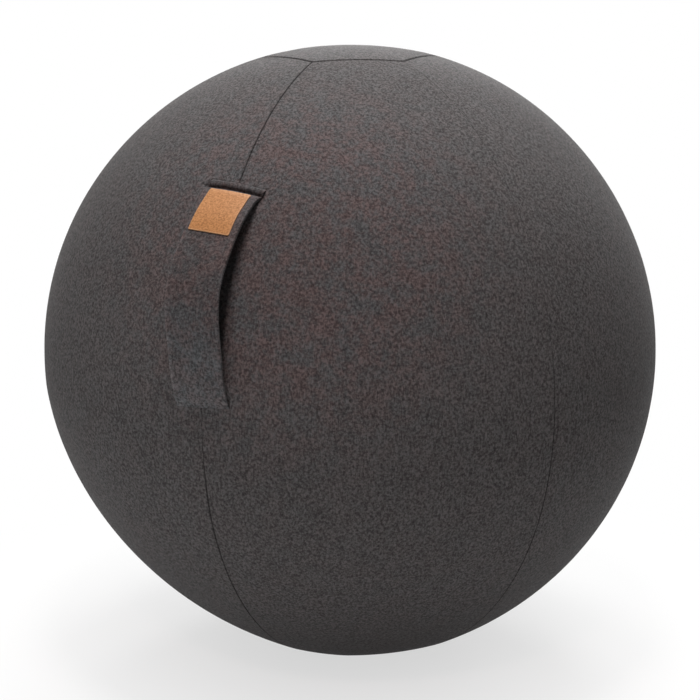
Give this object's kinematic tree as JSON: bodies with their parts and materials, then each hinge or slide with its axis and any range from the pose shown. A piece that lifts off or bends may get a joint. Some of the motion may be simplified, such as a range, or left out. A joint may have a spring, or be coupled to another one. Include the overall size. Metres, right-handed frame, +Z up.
{
  "type": "sitting ball",
  "caption": "Sitting ball: an inflated bladder in a zipped felt cover of gores and hexagon caps, with a bowed carrying strap across one seam.",
  "frame": {"origin": "middle of the patch of the base cap that lies flat on the floor", "axes": "+Z up, -Y out of the seam that carries the strap, +Y out of the seam that carries the zip"},
  "size_m": [0.6482, 0.6665, 0.6475],
  "materials": {
    "felt": "matte",
    "webbing": "matte",
    "label": "matte",
    "vinyl": "satin",
    "zip_cloth": "matte",
    "zip_resin": "satin",
    "zip_metal": "satin"
  },
  "bodies": {
    "ball": {"gore_front_right": "felt", "gore_right": "felt", "gore_rear_right": "felt", "gore_rear_left": "felt", "gore_left": "felt", "gore_front_left": "felt", "top_cap": "felt", "base_cap": "felt", "bladder": "vinyl", "valve_seat": "vinyl", "valve_plug": "vinyl", "zip_tape_left": "zip_cloth", "zip_tape_right": "zip_cloth", "zip_teeth_left": "zip_resin", "zip_teeth_right": "zip_resin", "zip_top_stop_left": "zip_metal", "zip_top_stop_right": "zip_metal", "zip_bottom_stop": "zip_metal"},
    "handle": {"handle_face": "felt", "handle_lining": "webbing", "label_patch": "label"},
    "slider": {"zip_slider": "zip_metal"},
    "pull": {"zip_pull": "zip_metal"}
  },
  "joints": [
    {"name": "handle_press", "type": "slide", "parent": "ball", "child": "handle", "axis": [0, -0.9367, 0.3502], "range_m": [-0.019, 0], "stiffness_N_per_m": 60, "springref_m": 0.003, "deforming": ["handle_face", "handle_lining", "label_patch"]},
    {"name": "zip_slide", "type": "hinge", "parent": "ball", "child": "slider", "pos_m": [0, 0, 0.32253], "axis": [-1, 0, 0], "range_deg": [0, 54], "deforming": ["zip_teeth_left", "zip_teeth_right"]},
    {"name": "zip_pull_swing", "type": "hinge", "parent": "slider", "child": "pull", "pos_m": [0, 0.32349, 0.35674], "axis": [1, 0, 0], "range_deg": [0, 150]}
  ]
}
